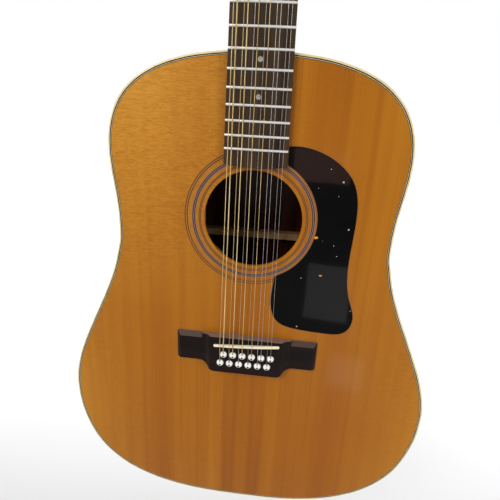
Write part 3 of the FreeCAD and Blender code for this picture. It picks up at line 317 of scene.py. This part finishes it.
def mahogany(name, roughness, coat):
    """Reddish-brown wood with short pores and a slow ribbon sheen along the neck."""
    kit = Kit(name, roughness)
    ribbon = kit.noise(kit.scaled(40, 40, 2.5), 1, 3, 0.55, 0.3)
    pore = kit.noise(kit.scaled(1400, 1400, 60), 1, 2)
    base = kit.ramp(ribbon, [(0.3, linear(92, 44, 22)), (0.7, linear(132, 70, 36))])
    pits = kit.level(pore, 0.35, 0.43, 1, 0)
    kit.set("Base Color", kit.mix(kit.math("MULTIPLY", pits, 0.6), base, linear(48, 22, 12)))
    kit.set("Roughness", kit.level(ribbon, 0.3, 0.7, roughness - 0.05, roughness + 0.08))
    kit.set("Normal", kit.bump(kit.math("SUBTRACT", 1, pits), 0.00004, 0.5))
    kit.coat(coat, 0.15)
    return kit.material


# ------------------------------------------------------------------ plastics, bone and pearl

def plastic(name, low, high, roughness, coat=0.3):
    """A smooth surface with slow tone changes, handling marks and a slightly uneven relief."""
    kit = Kit(name, roughness)
    tone = kit.noise(kit.place, 60, 3)
    marks = kit.noise(kit.place, 1080, 3, 0.7)
    kit.set("Base Color", kit.ramp(tone, [(0.3, low), (0.7, high)]))
    kit.set("Roughness", kit.level(marks, 0.35, 0.75, roughness * 0.8, roughness * 1.7))
    kit.set("Normal", kit.bump(tone, 0.00003, 0.6))
    kit.coat(coat, 0.08)
    return kit.material


def pickguard_black():
    """Polished black with hair scratches, small pale specks, two amber chips and a painted highlight along
    its edge.
    """
    kit = Kit("pickguard_black", 0.12)
    wear_and_painted_highlight = kit.noise(kit.scaled(14, 14, 10), 1, 4, 0.7)
    hair = kit.noise(kit.scaled(900, 200, 120), 1, 4, 0.7, 2.5)
    cells = kit.add("ShaderNodeTexVoronoi", {"feature": "F1"}, Vector=kit.place, Scale=130.0)
    dust = cells.outputs["Distance"]
    speck_size = kit.level(kit.noise(kit.scaled(90, 0, 90), 1, 2), 0.44, 0.68, 0, 0.15)
    speck = kit.math("LESS_THAN", dust, speck_size)
    colour = kit.ramp(wear_and_painted_highlight, [(0.35, linear(3, 2, 2)), (0.75, linear(9, 8, 8))])
    colour = kit.mix(kit.math("MULTIPLY", speck, 0.8), colour, linear(196, 186, 160))
    for across, up, size in CHIPS:
        offset = kit.add("ShaderNodeVectorMath", {"operation": "SUBTRACT"},
                         n0=kit.place, n1=(across, 0, up))
        stretched = kit.scaled(0.6, 0, 1, offset.outputs[0])
        reach = kit.add("ShaderNodeVectorMath", {"operation": "LENGTH"}, n0=stretched).outputs["Value"]
        ragged = kit.math("ADD", reach, kit.math("MULTIPLY", kit.noise(kit.place, 900, 2), size * 0.8))
        colour = kit.mix(kit.level(ragged, size * 1.3, size * 1.1), colour, linear(226, 150, 34))
    # Painted highlight: the side faces of the guard's rim are painted pale, where light catches its rounded
    # edge.
    painted_edge_highlight = kit.level(kit.facing()["Y"], -0.9, -0.3, 0, 0.45)
    kit.set("Base Color", kit.mix(painted_edge_highlight, colour, linear(206, 190, 160)))
    kit.set("Roughness", kit.level(hair, 0.5, 0.8, 0.04, 0.16))
    kit.set("Normal", kit.bump(kit.noise(kit.scaled(30, 30, 22), 1, 2), 0.00012, 0.4))
    kit.set("Specular IOR Level", 0.12)
    return kit.material


def ring_lines():
    """The rosette's dark and pale lines, told apart by their distance from the soundhole's middle."""
    kit = Kit("rosette_lines", 0.3)
    across = kit.math("POWER", kit.axes[0], 2.0)
    along = kit.math("POWER", kit.math("SUBTRACT", kit.axes[2], HOLE_HEIGHT), 2.0)
    reach = kit.math("SQRT", kit.math("ADD", across, along))
    dark, pale, brown = linear(20, 12, 10), linear(138, 108, 98), linear(84, 52, 34)
    colour = brown
    # Each group: where it starts, the width of a line, how many lines, and their two colours in turn.
    groups = ((0.0524, 0.0007, 3, brown, linear(150, 100, 50)),
              (0.0577, 0.0008, 5, pale, dark),
              (0.0659, 0.00104, 3, brown, linear(168, 112, 52)))
    for start, width, count, first, second in groups:
        for line in range(count):
            inner = kit.math("GREATER_THAN", reach, start + line * width)
            colour = kit.mix(inner, colour, second if line % 2 else first)
    kit.set("Base Color", colour)
    kit.set("Roughness", kit.level(kit.noise(kit.place, 900, 3), 0.3, 0.7, 0.22, 0.4))
    kit.set("Normal", kit.bump(kit.noise(kit.place, 700, 2), 0.00003))
    kit.set("Specular IOR Level", 0.2)
    kit.coat(0.2, 0.12)
    return kit.material


def bone():
    """Yellowed bone with faint pores."""
    kit = Kit("bone", 0.35)
    tone = kit.noise(kit.scaled(60, 200, 200), 1, 4)
    kit.set("Base Color", kit.ramp(tone, [(0.3, linear(242, 228, 186)), (0.7, linear(253, 246, 222))]))
    kit.set("Subsurface Weight", 0.15)
    kit.set("Subsurface Radius", (0.002, 0.0015, 0.001))
    kit.set("Roughness", kit.level(tone, 0.3, 0.7, 0.28, 0.45))
    kit.set("Normal", kit.bump(kit.noise(kit.place, 1600, 3), 0.00003))
    return kit.material


def pearl():
    """Shell dots with soft drifting bands."""
    kit = Kit("pearl", 0.2)
    bands = kit.noise(kit.scaled(260, 260, 420), 1, 3, 0.5, 1.6)
    kit.set("Base Color", kit.ramp(bands, [(0.3, linear(118, 116, 110)), (0.5, linear(176, 174, 164)),
                                           (0.7, linear(150, 154, 158))]))
    kit.set("Roughness", kit.level(bands, 0.3, 0.7, 0.15, 0.3))
    kit.coat(0.6, 0.05)
    return kit.material


# ------------------------------------------------------------------ metals

def metal(name, low, high, roughness, scale=300.0, metallic=1.0):
    """Polished metal with tarnish clouds and fine rubbing marks."""
    kit = Kit(name, roughness, metallic)
    cloud = kit.noise(kit.place, scale, 4, 0.6)
    rub = kit.noise(kit.place, scale * 8, 3)
    kit.set("Base Color", kit.ramp(cloud, [(0.3, low), (0.7, high)]))
    kit.set("Roughness", kit.level(rub, 0.3, 0.7, roughness * 0.85, roughness * 1.3))
    kit.set("Normal", kit.bump(rub, 0.000004, 0.4))
    return kit.material


def wound_string(name, low, high):
    """Wire-wound string: fine ridges round the core, one for each turn, with tarnish along its length."""
    kit = Kit(name, 0.3, 1.0)
    wire_width = 0.00032
    ridges = kit.math("SINE", kit.math("MULTIPLY", kit.axes[2], 2 * math.pi / wire_width))
    cloud = kit.noise(kit.scaled(200, 200, 18), 1, 4)
    kit.set("Base Color", kit.ramp(cloud, [(0.3, low), (0.7, high)]))
    kit.set("Roughness", kit.level(cloud, 0.3, 0.7, 0.24, 0.42))
    kit.set("Normal", kit.bump(ridges, 0.00004, 0.8))
    return kit.material


# ------------------------------------------------------------------ assembly

def paint(material, *names):
    """Gives CAD nodes a finished material in place of their plain one."""
    for name in names:
        slots = NODES[name].data.materials
        if len(slots):
            for index in range(len(slots)):
                slots[index] = material
        else:
            slots.append(material)


CREAM = plastic("aged_cream", linear(214, 190, 128), linear(240, 222, 172), 0.25)
BLACK = plastic("black_trim", linear(10, 9, 8), linear(24, 21, 18), 0.2)
WHITE = plastic("white_trim", linear(206, 190, 150), linear(228, 216, 182), 0.3)
PIN_WHITE = plastic("pin_white", linear(246, 244, 236), linear(254, 254, 250), 0.3)
NICKEL = metal("nickel", linear(190, 187, 180), linear(206, 203, 197), 0.14, scale=160.0)
BODY_WOOD = rosewood("rosewood_body", 2, linear(26, 11, 7), linear(56, 26, 15), linear(84, 44, 25),
                     0.3, 0.6, 0.35, bare_inside=True)
BRIDGE_WOOD = rosewood("rosewood_bridge", 0, linear(9, 4, 3), linear(21, 10, 7), linear(36, 19, 14), 0.34,
                       painted_top_highlight=0.75)
BOARD_WOOD = rosewood("rosewood_board", 2, linear(36, 25, 16), linear(64, 48, 32), linear(92, 72, 50), 0.5)

paint(spruce_top(), "soundboard")
paint(bare_spruce(), "x_braces", "top_braces", "back_braces")
paint(mahogany("mahogany_bare", 0.6, 0.0), "neck_block", "tail_block", "linings")
paint(mahogany("mahogany_neck", 0.34, 0.35), "neck")
paint(plastic("maple_plate", linear(190, 150, 100), linear(214, 180, 132), 0.6, 0.0), "bridge_plate")
paint(BODY_WOOD, "back", "side_bass", "side_treble")
paint(BRIDGE_WOOD, "bridge")
paint(rosewood("rosewood_veneer", 2, linear(18, 9, 7), linear(40, 21, 15), linear(60, 34, 24),
               0.28, 0.5, 0.3), "headstock_veneer")
paint(BOARD_WOOD, "fingerboard")
paint(CREAM, "body_binding", "end_graft", "heel_cap")
paint(BLACK, "purfling_black", "bridge_pin_dots", "truss_rod_cover")
paint(WHITE, "purfling_white")
paint(ring_lines(), "rosette")
paint(pickguard_black(), "pickguard")
paint(bone(), "saddle", "nut")
paint(pearl(), "position_dots")
paint(PIN_WHITE, "bridge_pins", "end_pin")
paint(metal("fret_silver", linear(240, 238, 232), linear(254, 252, 248), 0.3, metallic=0.55), "frets")
paint(wound_string("bronze_string", linear(196, 166, 104), linear(250, 232, 176)), "wound_strings")
paint(metal("steel_string", linear(196, 190, 184), linear(240, 236, 230), 0.3), "plain_strings")
paint(metal("rod_steel", linear(90, 90, 92), linear(130, 130, 132), 0.4), "truss_rod")
paint(NICKEL, "tuner_housings", "tuner_bushings", "tuner_screws")
for number in range(1, TUNERS + 1):
    paint(NICKEL, f"tuner_post_{number:02d}", f"tuner_button_{number:02d}")

make_world()
make_stage()
make_camera()
area_light("key", place=(-1.2, -1.7, JOIN + 1.1), target=(0, 0, JOIN - 0.2),
           size=(1.2, 1.2), watts=6.7, colour=(1, 0.98, 0.95), spread=75)
area_light("fill", place=(1.8, -1.4, JOIN + 0.2), target=(0, 0, JOIN - 0.25),
           size=(1.2, 1.8), watts=3.6, spread=75)
# Small lights that the pickguard and the top mirror as pale patches.
area_light("low_window", place=(0.15, -0.58, JOIN - 0.49), target=(0.08, 0, JOIN - 0.225),
           size=(0.11, 0.14), watts=0.07)
area_light("side_window", place=(0.174, -0.324, JOIN - 0.545), target=(0.111, 0, JOIN - 0.318),
           size=(0.07, 0.06), watts=0.028, colour=(1, 0.97, 0.9))
area_light("warm_glow", place=(0.12, -0.79, JOIN - 0.2), target=(0.064, 0, JOIN - 0.1),
           size=(0.16, 0.09), watts=0.095, colour=(1, 0.5, 0.38))
bpy.context.scene.view_settings.view_transform = "Standard"
